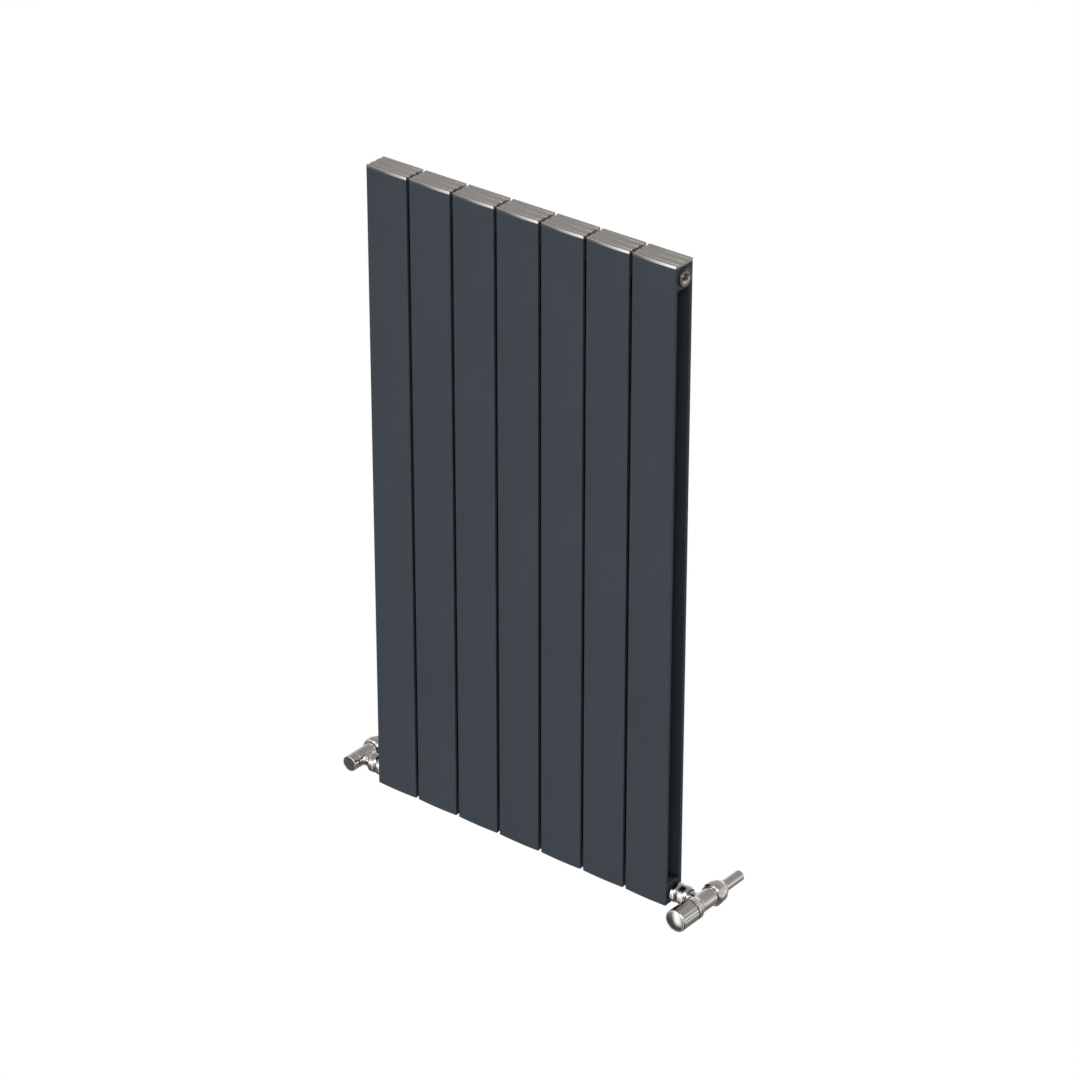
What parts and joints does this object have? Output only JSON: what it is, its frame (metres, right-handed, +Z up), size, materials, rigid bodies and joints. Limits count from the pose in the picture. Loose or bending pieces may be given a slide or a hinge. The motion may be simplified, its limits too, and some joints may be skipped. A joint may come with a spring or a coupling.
{
  "type": "wall radiator",
  "caption": "Vertical wall radiator: bowed dark panels side by side with chrome top caps, a handwheel corner valve, a lockshield valve, an air vent and wall brackets.",
  "frame": {"origin": "centre of the four wall screw holes, on the plane of the wall", "axes": "+X to the right seen from the room, +Y into the wall, +Z up"},
  "size_m": [0.6044, 0.1391, 0.9],
  "materials": {
    "anthracite_paint": "satin",
    "cap_chrome": "polished",
    "fitting_chrome": "polished",
    "rubber": "matte",
    "brass": "machined",
    "steel": "zinc plated",
    "pad_plastic": "matte"
  },
  "bodies": {
    "radiator": {"section_1": "anthracite_paint", "section_2": "anthracite_paint", "section_3": "anthracite_paint", "section_4": "anthracite_paint", "section_5": "anthracite_paint", "section_6": "anthracite_paint", "section_7": "anthracite_paint", "top_header_1": "anthracite_paint", "top_header_2": "anthracite_paint", "top_header_3": "anthracite_paint", "top_header_4": "anthracite_paint", "top_header_5": "anthracite_paint", "top_header_6": "anthracite_paint", "top_header_7": "anthracite_paint", "bottom_header_1": "anthracite_paint", "bottom_header_2": "anthracite_paint", "bottom_header_3": "anthracite_paint", "bottom_header_4": "anthracite_paint", "bottom_header_5": "anthracite_paint", "bottom_header_6": "anthracite_paint", "bottom_header_7": "anthracite_paint", "top_cap_1": "cap_chrome", "top_cap_2": "cap_chrome", "top_cap_3": "cap_chrome", "top_cap_4": "cap_chrome", "top_cap_5": "cap_chrome", "top_cap_6": "cap_chrome", "top_cap_7": "cap_chrome", "air_vent_plug": "fitting_chrome", "blanking_plug": "fitting_chrome", "radiator_tails": "fitting_chrome", "union_nuts": "fitting_chrome", "compression_nuts": "fitting_chrome", "valve_body": "fitting_chrome", "valve_headwork": "fitting_chrome", "supply_pipe": "fitting_chrome", "return_pipe": "fitting_chrome", "lockshield_body": "fitting_chrome", "spacer_rings": "rubber", "plug_gaskets": "rubber", "tail_seals": "rubber", "gland_orings": "rubber", "olives": "brass", "lockshield_headwork": "brass", "nipples": "steel", "upper_wall_brackets": "steel", "lower_wall_brackets": "steel", "bracket_pads": "pad_plastic"},
    "handwheel": {"handwheel": "fitting_chrome", "handwheel_end_cap": "fitting_chrome", "handwheel_screw": "steel", "valve_spindle": "brass"},
    "valve_disc": {"valve_disc": "brass", "valve_washer": "rubber"},
    "lockshield_spindle": {"lockshield_spindle": "brass"},
    "lockshield_disc": {"lockshield_disc": "brass", "lockshield_washer": "rubber"},
    "lockshield_cap": {"lockshield_cap": "fitting_chrome"},
    "bleed_screw": {"bleed_screw": "fitting_chrome"}
  },
  "joints": [
    {"name": "handwheel_turn", "type": "hinge", "parent": "radiator", "child": "handwheel", "pos_m": [0.2862, -0.0533, -0.4145], "axis": [0, -1, 0], "range_deg": [0, 900]},
    {"name": "valve_disc_travel", "type": "slide", "parent": "radiator", "child": "valve_disc", "axis": [0, -1, 0], "range_m": [0, 0.004]},
    {"name": "lockshield_turn", "type": "hinge", "parent": "radiator", "child": "lockshield_spindle", "pos_m": [-0.2862, -0.0533, -0.4145], "axis": [0, -1, 0], "range_deg": [0, 900]},
    {"name": "lockshield_disc_travel", "type": "slide", "parent": "radiator", "child": "lockshield_disc", "axis": [0, -1, 0], "range_m": [0, 0.004]},
    {"name": "lockshield_cap_pull", "type": "slide", "parent": "radiator", "child": "lockshield_cap", "axis": [0, -1, 0], "range_m": [0, 0.03]},
    {"name": "bleed_screw_turn", "type": "hinge", "parent": "radiator", "child": "bleed_screw", "pos_m": [0.2409, -0.0533, 0.4505], "axis": [1, 0, 0], "range_deg": [0, 360]}
  ],
  "couplings": [
    {"joint": "valve_disc_travel", "follows": "handwheel_turn", "m_per_rad": 0.000254},
    {"joint": "lockshield_turn", "follows": "lockshield_disc_travel", "rad_per_m": 3925}
  ]
}
